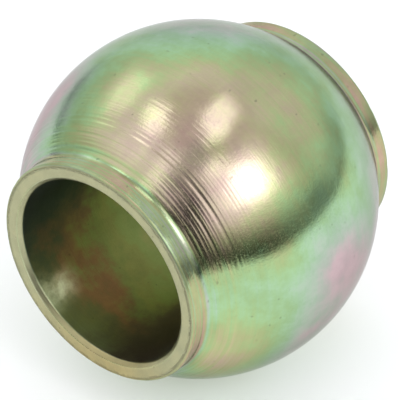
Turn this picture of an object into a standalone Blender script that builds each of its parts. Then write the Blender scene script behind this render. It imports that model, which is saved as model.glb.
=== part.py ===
"""A hollow hitch ball for a tractor linkage arm, turned from one piece of steel.

The ball rides in the arm's socket. A hitch pin passes through its plain bore, and a short
collar at each end keeps the arm clear of the ears that the pin goes through.

Metres, +Z up. The origin is the ball's centre, and the bore runs along X.
"""

import math

import bpy

# Driving dimensions.
BALL_DIAMETER = 0.060
WIDTH = 0.051  # over the two end faces
COLLAR_DIAMETER = 0.0406
BORE_DIAMETER = 0.0342
BORE_CHAMFER = 0.00075
RIM_CHAMFER = 0.0003
ROOT_FILLET = 0.0020  # where a collar meets the ball

# How finely the round stretches are drawn. Steps in multiples of four, and a profile with
# a point on the equator, make the solid exactly BALL_DIAMETER across.
TURN_STEPS = 96
BALL_STEPS = 12  # from a collar's root to the equator
FILLET_STEPS = 4

# Yellow chromate over zinc plate.
PLATE_COLOUR = (0.52, 0.53, 0.33, 1.0)
PLATE_ROUGHNESS = 0.32
SHARP_ANGLE = math.radians(30)


def clear_scene():
    for old in list(bpy.data.objects):
        bpy.data.objects.remove(old)


def plated_steel():
    material = bpy.data.materials.new("yellow_zinc_plate")
    material.use_nodes = True
    shader = material.node_tree.nodes["Principled BSDF"]
    shader.inputs["Base Color"].default_value = PLATE_COLOUR
    shader.inputs["Metallic"].default_value = 1.0
    shader.inputs["Roughness"].default_value = PLATE_ROUGHNESS
    material.diffuse_color = PLATE_COLOUR
    return material


def arc(centre, radius, start, end, steps):
    """Points of an arc in the (radius, height) plane, both ends included."""
    turns = [start + (end - start) * step / steps for step in range(steps + 1)]
    return [
        (centre[0] + radius * math.cos(turn), centre[1] + radius * math.sin(turn))
        for turn in turns
    ]


def upper_outline():
    """The section above the equator, from the bore wall round to the equator."""
    ball_radius = BALL_DIAMETER / 2
    collar_radius = COLLAR_DIAMETER / 2
    bore_radius = BORE_DIAMETER / 2
    end = WIDTH / 2

    # The fillet's centre lies outside the collar, one fillet radius from it and the ball.
    fillet_out = collar_radius + ROOT_FILLET
    fillet_up = math.sqrt((ball_radius + ROOT_FILLET) ** 2 - fillet_out**2)
    root = math.atan2(fillet_up, fillet_out)

    mouth = [(bore_radius, end - BORE_CHAMFER), (bore_radius + BORE_CHAMFER, end)]
    rim = [(collar_radius - RIM_CHAMFER, end), (collar_radius, end - RIM_CHAMFER)]
    fillet = arc(
        (fillet_out, fillet_up), ROOT_FILLET, math.pi, math.pi + root, FILLET_STEPS
    )
    ball = arc((0, 0), ball_radius, root, 0, BALL_STEPS)
    return mouth + rim + fillet + ball[1:]


def section():
    """The closed section of the wall. Its outer side runs from top to bottom."""
    upper = upper_outline()
    lower = [(out, -up) for out, up in reversed(upper[:-1])]
    return upper + lower


def turned(name, outline, material):
    """A closed outline in the XZ plane, turned about Z into one solid."""
    points = [(out, 0, up) for out, up in outline]
    edges = [(i, (i + 1) % len(points)) for i in range(len(points))]
    mesh = bpy.data.meshes.new(name)
    mesh.from_pydata(points, edges, [])
    blank = bpy.data.objects.new(name + "_outline", mesh)
    bpy.context.scene.collection.objects.link(blank)
    screw = blank.modifiers.new("Turn", "SCREW")
    screw.axis = "Z"
    screw.angle = math.tau
    screw.steps = TURN_STEPS
    screw.render_steps = TURN_STEPS

    graph = bpy.context.evaluated_depsgraph_get()
    solid = bpy.data.meshes.new_from_object(blank.evaluated_get(graph))
    solid.name = name
    solid.shade_smooth()
    solid.set_sharp_from_angle(angle=SHARP_ANGLE)
    solid.materials.append(material)
    bpy.data.objects.remove(blank)
    bpy.data.meshes.remove(mesh)
    return bpy.data.objects.new(name, solid)


def hitch_ball():
    ball = turned("hitch_ball", section(), plated_steel())
    ball.rotation_euler = (0, math.pi / 2, 0)  # lays the bore along X
    return ball


clear_scene()
assembly = bpy.data.collections.new("Hollow hitch ball")
bpy.context.scene.collection.children.link(assembly)
assembly.objects.link(hitch_ball())
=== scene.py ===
"""The looks of the hollow hitch ball: turned steel under iridescent yellow zinc plate."""

import math
import random

import bmesh
import bpy
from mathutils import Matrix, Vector, noise


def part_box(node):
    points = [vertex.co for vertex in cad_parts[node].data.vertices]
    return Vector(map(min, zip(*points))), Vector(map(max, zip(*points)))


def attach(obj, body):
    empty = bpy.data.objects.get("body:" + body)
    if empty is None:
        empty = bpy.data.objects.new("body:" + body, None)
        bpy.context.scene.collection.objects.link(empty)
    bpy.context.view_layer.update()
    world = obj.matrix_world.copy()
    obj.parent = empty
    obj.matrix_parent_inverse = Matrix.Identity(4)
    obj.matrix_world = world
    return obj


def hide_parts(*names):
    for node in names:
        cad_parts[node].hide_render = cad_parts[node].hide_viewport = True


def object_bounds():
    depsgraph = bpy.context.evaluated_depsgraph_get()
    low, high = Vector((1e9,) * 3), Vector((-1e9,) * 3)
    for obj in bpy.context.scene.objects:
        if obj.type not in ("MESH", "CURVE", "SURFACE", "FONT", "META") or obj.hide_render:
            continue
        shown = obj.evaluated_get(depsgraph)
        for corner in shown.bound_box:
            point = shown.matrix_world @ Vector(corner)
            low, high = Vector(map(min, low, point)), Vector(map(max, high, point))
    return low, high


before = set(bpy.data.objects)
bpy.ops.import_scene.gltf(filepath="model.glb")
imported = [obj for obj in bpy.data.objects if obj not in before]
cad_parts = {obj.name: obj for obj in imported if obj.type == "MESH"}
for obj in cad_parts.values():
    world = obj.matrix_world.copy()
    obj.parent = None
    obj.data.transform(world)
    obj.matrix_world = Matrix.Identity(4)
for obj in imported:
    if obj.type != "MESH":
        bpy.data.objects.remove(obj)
cad_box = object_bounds()

MM = 0.001
NODE = "hitch_ball"
CENTRE = sum((Vector(corner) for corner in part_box(NODE)), Vector()) / 2

# The camera, from the ball's centre.
VIEW_AZIMUTH = -49.9
VIEW_ELEVATION = 39.0
VIEW_DISTANCE = 0.635
VIEW_ASIDE = 0.23 * MM  # the ball sits a little left of the middle of the frame,
VIEW_BELOW = 0.21 * MM  # and a little above it
LENS_MM = 343.0
SENSOR_MM = 36.0
CLIP_START = 0.01


# ---------------------------------------------------------------- directions


def towards(azimuth, elevation):
    """The unit vector at this azimuth, 0 being -Y and 90 being +X, and elevation."""
    a = math.radians(azimuth)
    e = math.radians(elevation)
    return Vector((math.sin(a) * math.cos(e), -math.cos(a) * math.cos(e), math.sin(e)))


def from_camera_side(azimuth, elevation):
    """The same, with the azimuth counted from the camera's, to its right."""
    return towards(VIEW_AZIMUTH + azimuth, elevation)


# ------------------------------------------------------------- the turned piece

TURN_STEPS = 240
BORE_MOUTH = 0.75 * MM  # chamfer
BORE_EDGE = 0.7 * MM  # how far its two edges are rounded
RIM_EDGE = 0.50 * MM
ROOT_FILLET = 2.0 * MM
WALL_STEPS = 8
FACE_STEPS = 5
EDGE_STEPS = 5
FILLET_STEPS = 12

# The turning tool left a row of shallow scallops, deepest next to each collar.
SCALLOP_ZONE = 30.0  # degrees of the ball
SCALLOP_WIDTH = 1.25  # degrees
SCALLOP_DEPTH = 0.050 * MM
WIDTH_SPREAD = (0.65, 1.35)  # share of SCALLOP_WIDTH
DEPTH_SPREAD = (0.3, 1.0)  # share of SCALLOP_DEPTH
SCALLOP_FADE = 1.5  # power of the distance left in the zone
SCALLOP_STEPS = 5
LOW_END_SEED = 11
HIGH_END_SEED = 23
PLAIN_STEPS = 20  # from the last scallop to the equator

# Small knocks in the rims' outer edges.
NICK_REACH = 0.45 * MM  # from the face, and from the collar's side
NICK_SCALE = 700.0
NICK_THRESHOLD = 0.20
NICK_DEPTH = 0.003  # share of the distance from the centre, for each 1 above the threshold


def measure(node):
    """The radii and half width of the turned solid, read from its mesh."""
    spots = [(abs(v.co.x), math.hypot(v.co.y, v.co.z)) for v in node.data.vertices]
    half_width = max(along for along, out in spots)
    return {
        "end": half_width,
        "ball": max(out for along, out in spots),
        "bore": min(out for along, out in spots),
        "collar": max(out for along, out in spots if along > half_width - MM),
    }


def arc(centre, radius, start, end, steps):
    """Points of an arc, both ends included."""
    turns = [start + (end - start) * step / steps for step in range(steps + 1)]
    return [
        (centre[0] + radius * math.cos(turn), centre[1] + radius * math.sin(turn))
        for turn in turns
    ]


def rounded(before, corner, after, radius):
    """An arc of this radius in place of a corner between two straight runs."""
    corner = Vector(corner)
    back = (Vector(before) - corner).normalized()
    on = (Vector(after) - corner).normalized()
    half = back.angle(on) / 2
    centre = corner + (back + on).normalized() * (radius / math.sin(half))
    reach = radius / math.tan(half)
    first = (corner + back * reach - centre).normalized()
    last = (corner + on * reach - centre).normalized()
    turns = [first.slerp(last, step / EDGE_STEPS) for step in range(EDGE_STEPS + 1)]
    return [tuple(centre + turn * radius) for turn in turns]


def scallops(root, seed):
    """(latitude, depth) along the scallops below a collar's root, in degrees and metres.

    Each scallop is a parabola, deepest in its middle.
    """
    rng = random.Random(seed)
    spots = []
    latitude = root
    while latitude > root - SCALLOP_ZONE:
        width = SCALLOP_WIDTH * rng.uniform(*WIDTH_SPREAD)
        fade = max(0.0, 1 - (root - latitude) / SCALLOP_ZONE) ** SCALLOP_FADE
        depth = SCALLOP_DEPTH * fade * rng.uniform(*DEPTH_SPREAD)
        depth *= (width / SCALLOP_WIDTH) ** 2
        for step in range(SCALLOP_STEPS):
            share = step / SCALLOP_STEPS
            spots.append((latitude - width * share, depth * 4 * share * (1 - share)))
        latitude -= width
    return spots


def ball_arc(radius, root, seed):
    """The ball's outline from a collar's root, in degrees, down to the equator."""
    worked = scallops(root, seed)
    left = worked[-1][0]
    plain = [(left * (1 - i / PLAIN_STEPS), 0.0) for i in range(1, PLAIN_STEPS + 1)]
    points = []
    for latitude, depth in worked + plain:
        turn = math.radians(latitude)
        out = radius - depth
        points.append((out * math.cos(turn), out * math.sin(turn)))
    return points


def half_outline(sizes, seed):
    """(out, along) from the middle of the bore's wall round to the equator."""
    end = sizes["end"]
    bore = sizes["bore"]
    collar = sizes["collar"]

    # The fillet's centre, one fillet radius clear of both the collar and the ball.
    out = collar + ROOT_FILLET
    along = math.sqrt((sizes["ball"] + ROOT_FILLET) ** 2 - out**2)
    root = math.atan2(along, out)

    # The section's corners, before they are rounded.
    middle = (bore, 0)
    inside = (bore, end - BORE_MOUTH)
    mouth = (bore + BORE_MOUTH, end)
    rim = (collar, end)
    foot = (collar, along)
    outline = [(bore, end * step / WALL_STEPS) for step in range(WALL_STEPS)]
    outline += rounded(middle, inside, mouth, BORE_EDGE)
    outline += rounded(inside, mouth, rim, BORE_EDGE)
    for step in range(1, FACE_STEPS):
        outline.append((mouth[0] + (rim[0] - mouth[0]) * step / FACE_STEPS, end))
    outline += rounded(mouth, rim, foot, RIM_EDGE)
    outline += arc((out, along), ROOT_FILLET, math.pi, math.pi + root, FILLET_STEPS)
    return outline + ball_arc(sizes["ball"], math.degrees(root), seed)[1:]


def nick_rims(mesh, sizes):
    """Pushes patches of the rims' outer edges in towards the centre of the part."""
    for vertex in mesh.vertices:
        by_side = vertex.co.xy.length > sizes["collar"] - NICK_REACH
        by_face = abs(vertex.co.z) > sizes["end"] - NICK_REACH
        if not (by_side and by_face):
            continue
        dent = noise.noise(vertex.co * NICK_SCALE) - NICK_THRESHOLD
        if dent > 0:
            vertex.co *= 1 - NICK_DEPTH * dent


def turned_piece(name, sizes):
    """The outline turned about its own Z, then laid with the bore along X."""
    low = half_outline(sizes, LOW_END_SEED)
    outline = half_outline(sizes, HIGH_END_SEED)
    outline += [(out, -along) for out, along in reversed(low[1:-1])]

    edges = [(i, (i + 1) % len(outline)) for i in range(len(outline))]
    mesh = bpy.data.meshes.new("outline")
    mesh.from_pydata([(out, 0, along) for out, along in outline], edges, [])
    blank = bpy.data.objects.new("outline", mesh)
    bpy.context.scene.collection.objects.link(blank)
    screw = blank.modifiers.new("Turn", "SCREW")
    screw.axis = "Z"
    screw.angle = math.tau
    screw.steps = TURN_STEPS
    screw.render_steps = TURN_STEPS
    screw.use_smooth_shade = True
    graph = bpy.context.evaluated_depsgraph_get()
    solid = bpy.data.meshes.new_from_object(blank.evaluated_get(graph))
    bpy.data.objects.remove(blank)
    nick_rims(solid, sizes)

    piece = bpy.data.objects.new(name, solid)
    piece.location = CENTRE
    piece.rotation_euler = (0, math.pi / 2, 0)
    bpy.context.scene.collection.objects.link(piece)
    bpy.context.view_layer.update()
    return piece


# ------------------------------------------------------------------ materials


# Places of the Mix node's colour sockets, because its other sockets have the same names.
MIX_SHARE = 0
MIX_FIRST_COLOUR = 6
MIX_SECOND_COLOUR = 7
MIX_COLOUR = 2


class Graph:
    """A material's nodes, written as one call for each."""

    def __init__(self, name):
        self.material = bpy.data.materials.new(name)
        self.material.use_nodes = True
        self.tree = self.material.node_tree
        self.tree.nodes.clear()

    def put(self, socket, value):
        """Links a socket to another one's output, or sets its plain value."""
        if isinstance(value, bpy.types.NodeSocket):
            self.tree.links.new(value, socket)
        else:
            socket.default_value = value

    def add(self, kind, inputs=None, **settings):
        node = self.tree.nodes.new(kind)
        for key, value in settings.items():
            setattr(node, key, value)
        for key, value in (inputs or {}).items():
            self.put(node.inputs[key], value)
        return node

    def math(self, operation, *values):
        node = self.add("ShaderNodeMath", operation=operation)
        for socket, value in zip(node.inputs, values):
            self.put(socket, value)
        return node.outputs[0]

    def smooth(self, value, low, high, to_low=0.0, to_high=1.0):
        """value eased from to_low, at low, to to_high, at high."""
        node = self.add("ShaderNodeMapRange", interpolation_type="SMOOTHSTEP")
        settings = (value, low, high, to_low, to_high)
        for key, given in zip(("Value", "From Min", "From Max", "To Min", "To Max"), settings):
            self.put(node.inputs[key], given)
        return node.outputs["Result"]

    def noise(self, vector, scale, detail=2.0, roughness=0.5):
        settings = {"Vector": vector, "Scale": scale, "Detail": detail, "Roughness": roughness}
        return self.add("ShaderNodeTexNoise", settings).outputs["Fac"]

    def plus(self, value, share, amount):
        """value, with amount added where share is 1."""
        return self.math("MULTIPLY_ADD", share, amount, value)

    def vary(self, value, field, amount):
        """value moved up and down by a noise field, by at most half of amount."""
        return self.plus(value, self.math("SUBTRACT", field, 0.5), amount)

    def ramp(self, value, stops):
        node = self.add("ShaderNodeValToRGB", {"Fac": value})
        node.color_ramp.interpolation = "B_SPLINE"
        elements = node.color_ramp.elements
        while len(elements) < len(stops):
            elements.new(0.5)
        for element, (place, colour) in zip(elements, stops):
            element.position = place
            element.color = (*colour, 1.0)
        return node.outputs["Color"]

    def blend(self, share, first, second, mode="MIX"):
        node = self.add("ShaderNodeMix", data_type="RGBA", blend_type=mode)
        self.put(node.inputs[MIX_SHARE], share)
        self.put(node.inputs[MIX_FIRST_COLOUR], first)
        self.put(node.inputs[MIX_SECOND_COLOUR], second)
        return node.outputs[MIX_COLOUR]


# Noises over the surface: scale, detail and roughness.
CLOUDS = (55.0, 3.0, 0.5)
DRIFT = (80.0, 1.0)
PATCHES = (200.0, 4.0, 0.66)
WAVES = (320.0, 2.0, 0.5)
SPECKS = (1300.0, 0.0)
GRAIN = (3000.0, 3.0, 0.65)
PITS = (4200.0, 2.0, 0.6)
# The same, over coordinates that make rings round the bore.
STREAKS = (26.0, 3.0, 0.6)
FINE_RINGS = (60.0, 2.0, 0.7)
RING_SCALE = 60.0  # of those coordinates
RING_DRIFT = 0.05  # how far DRIFT moves them

# Each zone's start, and where it is complete.
NEAR_COLLAR = (0.55, 0.85)  # share of the way from the ball's middle to the end face
ROOT_ZONE = (4.9 * MM, 4.2 * MM)  # in from the end face
COLLAR_ZONE = (3.7 * MM, 3.1 * MM)
FACE_ZONE = (0.12 * MM, 0.02 * MM)
BORE_ZONE = (0.10 * MM, 0.02 * MM)  # out from the bore's wall
MOUTH_ZONE = (BORE_MOUTH, 0.8 * BORE_MOUTH)
RIM_ZONE = (0.62 * MM, 0.48 * MM)  # in from the rim's corner, along face and side together

# The ball's colour goes through these as its film of chromate gets thicker.
FILM_COLOURS = (
    (0.00, (0.660, 0.450, 0.385)),
    (0.08, (0.630, 0.485, 0.375)),
    (0.18, (0.610, 0.500, 0.340)),
    (0.29, (0.500, 0.500, 0.250)),
    (0.40, (0.365, 0.515, 0.230)),
    (0.52, (0.340, 0.545, 0.295)),
    (0.64, (0.385, 0.530, 0.390)),
    (0.77, (0.455, 0.465, 0.420)),
    (0.91, (0.545, 0.378, 0.405)),
    (1.00, (0.500, 0.400, 0.400)),
)
PAINTED_SHEEN_CENTRE = (-8, 58)  # centre of a painted sheen, where the film is thinnest: azimuth from the camera's, and elevation
THINNEST_FILM = 0.06
FILM_AT_SIDE = 0.80  # a quarter turn from there
FILM_AT_ROOT = 0.15  # more, in the hollow beside each collar
FILM_CLOUDS = 0.40
FILM_PATCHES = 0.38
FILM_STREAKS = 0.14
FILM_STREAKS_NEAR_COLLAR = 0.40  # more
# Where the film is thicker or thinner than that, some as the plate's own stains and some as more
# painted sheen over the lamps' highlights: azimuth from the camera's and elevation on the ball,
# radius, all in degrees, and the change.
FILM_STAINS_AND_SHEEN = (
    (50, 5, 24, 0.27),
    (-100, 36, 32, 0.34),
    (-97, 14, 22, 0.30),
    (-3, 30, 24, -0.22),
    (21, 43, 20, -0.14),
    (8, -19, 34, -0.42),
    (40, -30, 26, 0.08),
    (-30, 70, 20, 0.08),
    (78, 38, 34, -0.06),
    (8, 53, 9, 0.14),
    (171, 74, 30, 0.26),
    (5, -38, 24, -0.24),
)

COLLAR_COLOURS = (
    (0.20, (0.540, 0.360, 0.290)),
    (0.35, (0.470, 0.410, 0.215)),
    (0.51, (0.360, 0.480, 0.220)),
    (0.66, (0.390, 0.480, 0.310)),
    (0.82, (0.470, 0.410, 0.340)),
)
COLLAR_FILM = 0.5
COLLAR_STREAKS = 1.4
COLLAR_CLOUDS = 1.3
COLLAR_STAINS = ((2, -16, 38, -0.20), (-30, 30, 40, 0.06), (130, 30, 45, -0.10))

FACE_COLOUR = (0.425, 0.425, 0.255, 1.0)
RUSTY_COLOUR = (0.460, 0.390, 0.190, 1.0)
# The near face's lower side: azimuth from the camera's, elevation and radius.
RUSTY = (-40, -37, 38)
RUSTY_PATCHES = 0.8
MOUTH_DULLNESS = 0.8  # share of the face's

# From the bore's mouth, at 0, to its middle.
BORE_COLOURS = (
    (0.00, (0.400, 0.440, 0.240)),
    (0.14, (0.300, 0.340, 0.170)),
    (0.30, (0.310, 0.320, 0.150)),
    (0.42, (0.470, 0.250, 0.150)),
    (0.51, (0.440, 0.310, 0.150)),
    (0.62, (0.310, 0.440, 0.155)),
    (0.73, (0.430, 0.410, 0.150)),
    (0.85, (0.320, 0.470, 0.155)),
    (1.00, (0.430, 0.410, 0.160)),
)
BORE_CLOUDS = 0.8
BORE_PATCHES = 0.5
BORE_STREAKS = 0.12
BORE_STAINS = ((-86, -6, 40, 0.09), (-62, -42, 32, 0.05))
# Painted shade: dark patches on the bore's wall, placed like the stains, with the colour of
# each.
BORE_SHADE = (
    (-80, 16, 44, (0.150, 0.195, 0.165, 1.0)),
    (-16, -44, 32, (0.230, 0.190, 0.140, 1.0)),
)
BORE_SHADE_PATCHES = 30.0  # degrees
BORE_SHADE_CORE = 0.3  # share of its radius where a patch is darkest
BORE_GLINT = (-69, -25, 10)  # a painted glint: a bright patch in the bore, placed like RUSTY
BORE_GLINT_COLOUR = (0.800, 0.880, 0.540, 1.0)
BORE_GLINT_PATCHES = (0.25, 0.75)  # of the noise
BORE_GLINT_METAL_LOSS = 0.6  # how much less metallic the painted glint's patch is

SPECK_COLOUR = (0.140, 0.140, 0.090, 1.0)
SPECK_RANGE = (0.80, 0.88)  # of the noise
SPECK_DARKNESS = 0.4
TONE_PATCHES = (0.3, 0.7)  # of the noise
TONE = (0.90, 1.06)  # the colour is multiplied by this
EDGE_TINT = (0.68, 0.66, 0.65, 1.0)  # the plate is duller at a glancing angle than bare metal

ROUGHNESS = 0.09
CLOUD_ROUGHNESS = 0.06
PIT_RANGE = (0.45, 0.72)  # of the noise
PIT_ROUGHNESS = 0.14
FACE_ROUGHNESS = 0.24
RIM_ROUGHNESS = 0.18
BORE_ROUGHNESS = 0.26
BORE_GLINT_ROUGHNESS = 0.15

BUMP_HEIGHT = 0.005 * MM  # what each of the next four is a multiple of
GRAIN_HEIGHT = 2.2
RING_HEIGHT = 2.5
RING_HEIGHT_NEAR_COLLAR = 1.0  # more
WAVE_HEIGHT = 5.0


def back_from(edge, zone):
    """A zone's start and end, counted back from an edge."""
    return [edge - reach for reach in zone]


def on_from(edge, zone):
    """A zone's start and end, counted on from an edge."""
    return [edge + reach for reach in zone]


class Plate(Graph):
    """The plate's nodes. Its zones and noises are set up once, for every part of the look."""

    def __init__(self, sizes, to_own):
        super().__init__("yellow_zinc_plate")
        self.to_own = to_own
        end = sizes["end"]
        bore = sizes["bore"]

        self.place = self.add("ShaderNodeTexCoord").outputs["Object"]
        x, y, along = self.add("ShaderNodeSeparateXYZ", {0: self.place}).outputs
        squares = self.math("ADD", self.math("MULTIPLY", x, x), self.math("MULTIPLY", y, y))
        out = self.math("SQRT", squares)
        aside = self.math("ABSOLUTE", along)
        unit = self.add("ShaderNodeVectorMath", {0: self.place}, operation="NORMALIZE")
        self.direction = unit.outputs[0]
        self.depth = self.math("SUBTRACT", 1.0, self.math("DIVIDE", aside, end))

        start, full = NEAR_COLLAR
        self.near_collar = self.smooth(aside, end * start, end * full)
        self.at_root = self.smooth(aside, *back_from(end, ROOT_ZONE))
        self.on_collar = self.smooth(aside, *back_from(end, COLLAR_ZONE))
        self.on_face = self.smooth(aside, *back_from(end, FACE_ZONE))
        self.in_bore = self.smooth(out, *on_from(bore, BORE_ZONE))
        in_mouth = self.smooth(out, *on_from(bore, MOUTH_ZONE))
        outside = self.math("SUBTRACT", 1.0, self.in_bore)
        self.in_mouth = self.math("MULTIPLY", in_mouth, outside)
        cornerwards = self.math("ADD", out, aside)
        self.at_rim = self.smooth(cornerwards, *back_from(sizes["collar"] + end, RIM_ZONE))

        # The same out and along all the way round the bore, with a little drift.
        drift = self.noise(self.place, *DRIFT)
        rings = {
            "X": self.plus(self.math("MULTIPLY", out, RING_SCALE), drift, RING_DRIFT),
            "Y": self.math("MULTIPLY", along, RING_SCALE),
        }
        self.rings = self.add("ShaderNodeCombineXYZ", rings).outputs[0]
        self.clouds = self.noise(self.place, *CLOUDS)
        self.patches = self.noise(self.place, *PATCHES)
        self.streaks = self.noise(self.rings, *STREAKS)

        # Painted glint: a bright, less metallic, rougher patch on the bore's wall where a glint
        # falls.
        painted_bore_glint = self.math("MULTIPLY", self.spot(*BORE_GLINT), self.in_bore)
        self.painted_bore_glint = self.math("MULTIPLY", painted_bore_glint, self.smooth(self.patches, *BORE_GLINT_PATCHES))

    def turned_from(self, azimuth, elevation):
        """The angle between this direction and each point's, in degrees."""
        centre = self.to_own @ from_camera_side(azimuth, elevation)
        settings = {0: self.direction, 1: centre}
        facing = self.add("ShaderNodeVectorMath", settings, operation="DOT_PRODUCT")
        return self.math("DEGREES", self.math("ARCCOSINE", facing.outputs["Value"]))

    def spot(self, azimuth, elevation, radius):
        """1 in this direction, easing to 0 at radius degrees from it."""
        return self.smooth(self.turned_from(azimuth, elevation), radius, 0.0)

    def stained(self, film, stains):
        """film, thicker or thinner in each stain's spot."""
        for azimuth, elevation, radius, change in stains:
            film = self.plus(film, self.spot(azimuth, elevation, radius), change)
        return film

    def ball_colour(self):
        """The ball's own colour.

        Its film is thinnest near the camera's line of sight, and opposite it, and thickens in
        between: a painted sheen, rings that copy how the plate's iridescent colour changes with
        the viewing angle. The colours themselves are the plate's.
        """
        # Painted sheen: film rings round a direction near the camera's line of sight.
        turn = self.turned_from(*PAINTED_SHEEN_CENTRE)
        turn = self.math("MINIMUM", turn, self.math("SUBTRACT", 180.0, turn))
        film = self.plus(THINNEST_FILM, turn, (FILM_AT_SIDE - THINNEST_FILM) / 90)
        film = self.stained(film, FILM_STAINS_AND_SHEEN)
        film = self.plus(film, self.at_root, FILM_AT_ROOT)
        film = self.vary(film, self.clouds, FILM_CLOUDS)
        film = self.vary(film, self.patches, FILM_PATCHES)
        streakiness = self.plus(FILM_STREAKS, self.near_collar, FILM_STREAKS_NEAR_COLLAR)
        return self.ramp(self.vary(film, self.streaks, streakiness), FILM_COLOURS)

    def collar_colour(self):
        """The collars' film is mostly streaks that run round them."""
        film = self.vary(COLLAR_FILM, self.streaks, COLLAR_STREAKS)
        film = self.vary(film, self.clouds, COLLAR_CLOUDS)
        return self.ramp(self.stained(film, COLLAR_STAINS), COLLAR_COLOURS)

    def face_colour(self):
        """The end faces took a plain, even film."""
        rusty = self.vary(self.spot(*RUSTY), self.patches, RUSTY_PATCHES)
        return self.blend(rusty, FACE_COLOUR, RUSTY_COLOUR)

    def bore_colour(self):
        """The bore's film changes with the distance from its mouth."""
        film = self.vary(self.depth, self.clouds, BORE_CLOUDS)
        film = self.vary(film, self.patches, BORE_PATCHES)
        film = self.stained(film, BORE_STAINS)
        colour = self.ramp(self.vary(film, self.streaks, BORE_STREAKS), BORE_COLOURS)
        # Painted shade: the bore's wall darkened in patches.
        for azimuth, elevation, radius, shade_colour in BORE_SHADE:
            away = self.vary(self.turned_from(azimuth, elevation), self.patches, BORE_SHADE_PATCHES)
            dark = self.smooth(away, radius, BORE_SHADE_CORE * radius)
            colour = self.blend(dark, colour, shade_colour)
        return colour

    def colour(self):
        """The whole part's colour. Each layer covers the ones before it."""
        face_colour = self.face_colour()
        colour = self.blend(self.on_collar, self.ball_colour(), self.collar_colour())
        colour = self.blend(self.on_face, colour, face_colour)
        colour = self.blend(self.in_bore, colour, self.bore_colour())
        # Painted glint in the bore.
        colour = self.blend(self.painted_bore_glint, colour, BORE_GLINT_COLOUR)
        specks = self.noise(self.place, *SPECKS)
        speck = self.smooth(specks, *SPECK_RANGE, 0.0, SPECK_DARKNESS)
        colour = self.blend(speck, colour, SPECK_COLOUR)
        colour = self.blend(self.in_mouth, colour, face_colour)
        tone = self.smooth(self.patches, *TONE_PATCHES, *TONE)
        shade = self.add("ShaderNodeCombineXYZ", {0: tone, 1: tone, 2: tone})
        return self.blend(1.0, colour, shade.outputs[0], "MULTIPLY")

    def roughness(self):
        mouth_dull = self.math("MULTIPLY", self.in_mouth, MOUTH_DULLNESS)
        dull = self.math("MAXIMUM", self.on_face, mouth_dull)
        pits = self.smooth(self.noise(self.place, *PITS), *PIT_RANGE)
        rough = self.plus(ROUGHNESS, self.clouds, CLOUD_ROUGHNESS)
        rough = self.plus(rough, pits, PIT_ROUGHNESS)
        rough = self.plus(rough, dull, FACE_ROUGHNESS)
        rough = self.plus(rough, self.at_rim, RIM_ROUGHNESS)
        rough = self.plus(rough, self.in_bore, BORE_ROUGHNESS)
        # Rougher in the painted glint's patch.
        return self.plus(rough, self.painted_bore_glint, BORE_GLINT_ROUGHNESS)

    def bump(self):
        grain = self.math("MULTIPLY", self.noise(self.place, *GRAIN), GRAIN_HEIGHT)
        ring_height = self.plus(RING_HEIGHT, self.near_collar, RING_HEIGHT_NEAR_COLLAR)
        fine = self.math("MULTIPLY", self.noise(self.rings, *FINE_RINGS), ring_height)
        height = self.math("ADD", grain, fine)
        height = self.plus(height, self.noise(self.place, *WAVES), WAVE_HEIGHT)
        settings = {"Height": height, "Strength": 1.0, "Distance": BUMP_HEIGHT}
        return self.add("ShaderNodeBump", settings).outputs[0]

    def build(self):
        """The finished material."""
        settings = {
            "Base Color": self.colour(),
            # Less metallic in the painted glint's patch.
            "Metallic": self.plus(1.0, self.painted_bore_glint, -BORE_GLINT_METAL_LOSS),
            "Roughness": self.roughness(),
            "Specular Tint": EDGE_TINT,
            "Normal": self.bump(),
        }
        shader = self.add("ShaderNodeBsdfPrincipled", settings)
        output = self.add("ShaderNodeOutputMaterial")
        self.put(output.inputs["Surface"], shader.outputs[0])
        return self.material


# ---------------------------------------------------------------------- studio

FLOOR_RADIUS = 3.0
FLOOR_SEGMENTS = 128
FLOOR_COLOUR = (0.88, 0.88, 0.87, 1.0)
FLOOR_ROUGHNESS = (0.75, 0.85)
FLOOR_NOISE_SCALE = 40.0
FLOOR_NOISE_RANGE = (0.3, 0.7)
ROOM_COLOUR = (1.0, 1.0, 0.99, 1.0)
ROOM_LIGHT = 0.66
PANEL_COLOUR = (0.96, 1.00, 1.06, 1.0)
FILL_SIZE = 2.0
FILL_HEIGHT = 1.5
FILL_WATTS = 15.0
FILL_COLOUR = (1.0, 0.945, 0.955)
PANEL_STEPS = 24

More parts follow.
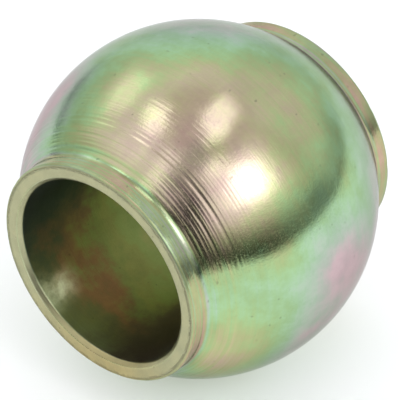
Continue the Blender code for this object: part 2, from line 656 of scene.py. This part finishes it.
# Curved panels round the part: name, distance, azimuths from the camera's, elevations,
# brightness, and the share of its width or height over which each side fades: left, right,
# bottom, top. A panel darker than the room shows only in reflections.
PANELS = (
    ("key_top", 0.78, (-4, 36), (50, 66), 2.1, (0.45, 0.45, 0.45, 0.45)),
    ("key", 0.8, (19, 69), (24, 59), 4.1, (0.45, 0.45, 0.45, 0.45)),
    ("key_halo", 0.9, (-12, 94), (10, 67), 1.25, (0.30, 0.35, 0.40, 0.30)),
    ("ceiling", 0.8, (8, 112), (70, 89), 1.8, (0.20, 0.20, 0.18, 0.10)),
    ("ceiling_right", 0.8, (88, 152), (64, 88), 1.65, (0.30, 0.20, 0.25, 0.10)),
    ("left_high", 0.8, (-130, -60), (57, 74), 2.0, (0.25, 0.40, 0.25, 0.25)),
    ("left_low", 0.8, (-154, -109), (30, 53), 1.5, (0.30, 0.30, 0.30, 0.30)),
    ("left_bright", 0.85, (-104, -60), (33, 66), 1.1, (0.30, 0.08, 0.20, 0.30)),
    ("left_near", 0.85, (-48, -27), (30, 66), 1.4, (0.12, 0.30, 0.20, 0.30)),
    ("left_dark", 0.9, (-158, -118), (-6, 7), 0.42, (0.35, 0.35, 0.30, 0.60)),
    ("left_edge", 0.88, (-160, -124), (5, 27), 0.85, (0.40, 0.40, 0.40, 0.40)),
    ("left_wall", 0.9, (-178, -16), (15, 72), 0.98, (0.12, 0.10, 0.30, 0.24)),
    ("right_wall", 1.0, (82, 172), (-3, 68), 0.86, (0.20, 0.20, 0.05, 0.20)),
    ("right_low", 0.95, (94, 140), (-4, 20), 0.55, (0.30, 0.40, 0.0, 0.60)),
    ("front_tail", 0.88, (90, 124), (-12, 5), 0.15, (0.30, 0.50, 0.35, 0.50)),
    ("front_spot", 0.86, (68, 94), (-1, 17), 0.26, (0.45, 0.45, 0.40, 0.50)),
    ("back_wall", 1.1, (135, 218), (-3, 75), 1.00, (0.20, 0.25, 0.05, 0.26)),
    ("front", 0.43, (-26, 78), (-7, 24), 0.06, (0.10, 0.42, 0.0, 0.80)),
    ("front_right", 0.9, (30, 108), (-5, 19), 0.30, (0.35, 0.20, 0.10, 0.80)),
    ("photographer", 0.22, (-24, 12), (-10, 53), 0.06, (0.30, 0.45, 0.0, 0.30)),
    ("shoulder", 0.24, (-38, -2), (36, 55), 0.30, (0.40, 0.40, 0.40, 0.40)),
    ("photographer_high", 0.3, (-26, 20), (52, 76), 0.48, (0.40, 0.40, 0.30, 0.30)),
)


def staged(mesh, name, location, material):
    """An object of the studio, which isn't part of the hitch ball."""
    piece = bpy.data.objects.new(name, mesh)
    piece.location = location
    mesh.materials.append(material)
    bpy.context.scene.collection.objects.link(piece)
    return piece


def floor():
    g = Graph("floor")
    speckle = g.noise(g.add("ShaderNodeTexCoord").outputs["Object"], FLOOR_NOISE_SCALE)
    rough = g.smooth(speckle, *FLOOR_NOISE_RANGE, *FLOOR_ROUGHNESS)
    shader = g.add("ShaderNodeBsdfPrincipled", {"Base Color": FLOOR_COLOUR, "Roughness": rough})
    g.put(g.add("ShaderNodeOutputMaterial").inputs["Surface"], shader.outputs[0])

    disc = bmesh.new()
    bmesh.ops.create_circle(disc, cap_ends=True, segments=FLOOR_SEGMENTS, radius=FLOOR_RADIUS)
    mesh = bpy.data.meshes.new("floor")
    disc.to_mesh(mesh)
    disc.free()
    lowest = cad_box[0][2]
    staged(mesh, "floor", (0, 0, lowest), g.material)


def glow(name, brightness, fades):
    """An emission whose sides fade to nothing, by the panel's own u and v."""
    g = Graph(name)
    split = g.add("ShaderNodeSeparateXYZ", {0: g.add("ShaderNodeTexCoord").outputs["UV"]})
    share = 1.0
    for place, (low, high) in zip(split.outputs[:2], (fades[:2], fades[2:])):
        for spot, fade in ((place, low), (g.math("SUBTRACT", 1.0, place), high)):
            if fade:
                share = g.math("MULTIPLY", share, g.smooth(spot, 0.0, fade))
    light = g.add("ShaderNodeEmission", {"Color": PANEL_COLOUR, "Strength": brightness})
    clear = g.add("ShaderNodeBsdfTransparent")
    mix = g.add("ShaderNodeMixShader", {0: share, 1: clear.outputs[0], 2: light.outputs[0]})
    g.put(g.add("ShaderNodeOutputMaterial").inputs["Surface"], mix.outputs[0])
    return g.material


def panel(name, distance, azimuths, elevations, brightness, fades):
    """A piece of a sphere round the part, hidden from the camera."""
    sheet = bmesh.new()
    bmesh.ops.create_grid(sheet, x_segments=PANEL_STEPS, y_segments=PANEL_STEPS, size=0.5)
    places = sheet.loops.layers.uv.new("place")
    for face in sheet.faces:
        for loop in face.loops:
            loop[places].uv = (loop.vert.co.x + 0.5, loop.vert.co.y + 0.5)
    for vert in sheet.verts:
        azimuth = azimuths[0] + (azimuths[1] - azimuths[0]) * (vert.co.x + 0.5)
        elevation = elevations[0] + (elevations[1] - elevations[0]) * (vert.co.y + 0.5)
        vert.co = from_camera_side(azimuth, elevation) * distance
    mesh = bpy.data.meshes.new(name)
    sheet.to_mesh(mesh)
    sheet.free()

    card = staged(mesh, name, CENTRE, glow(name, brightness, fades))
    card.visible_camera = False
    if brightness < ROOM_LIGHT:
        card.visible_diffuse = False
        card.visible_shadow = False


def fill():
    """A wide light overhead. Nothing reflects it, so it lights little but the floor."""
    data = bpy.data.lights.new("fill", "AREA")
    data.size = FILL_SIZE
    data.energy = FILL_WATTS
    data.color = FILL_COLOUR
    data.use_shadow = False
    light = bpy.data.objects.new("fill", data)
    light.location = CENTRE + Vector((0, 0, FILL_HEIGHT))
    light.visible_glossy = False
    light.visible_camera = False
    bpy.context.scene.collection.objects.link(light)


def room():
    world = bpy.data.worlds.new("studio")
    world.use_nodes = True
    background = world.node_tree.nodes["Background"]
    background.inputs["Color"].default_value = ROOM_COLOUR
    background.inputs["Strength"].default_value = ROOM_LIGHT
    bpy.context.scene.world = world
    bpy.context.scene.view_settings.view_transform = "Standard"


def camera():
    data = bpy.data.cameras.new("camera")
    data.lens = LENS_MM
    data.sensor_width = SENSOR_MM
    data.clip_start = CLIP_START
    eye = bpy.data.objects.new("camera", data)
    bpy.context.scene.collection.objects.link(eye)
    back = from_camera_side(0, VIEW_ELEVATION)
    eye.rotation_euler = back.to_track_quat("Z", "Y").to_euler()
    right = towards(VIEW_AZIMUTH + 90, 0)
    down = right.cross(back)
    eye.location = CENTRE + back * VIEW_DISTANCE + right * VIEW_ASIDE + down * VIEW_BELOW
    bpy.context.scene.camera = eye


# ------------------------------------------------------------------ the object

camera()
room()
fill()
floor()
for settings in PANELS:
    panel(*settings)

sizes = measure(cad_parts[NODE])
ball = turned_piece("turned_hitch_ball", sizes)
to_own = ball.matrix_world.to_3x3().inverted()
ball.data.materials.clear()
ball.data.materials.append(Plate(sizes, to_own).build())
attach(ball, "root")
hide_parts(NODE)
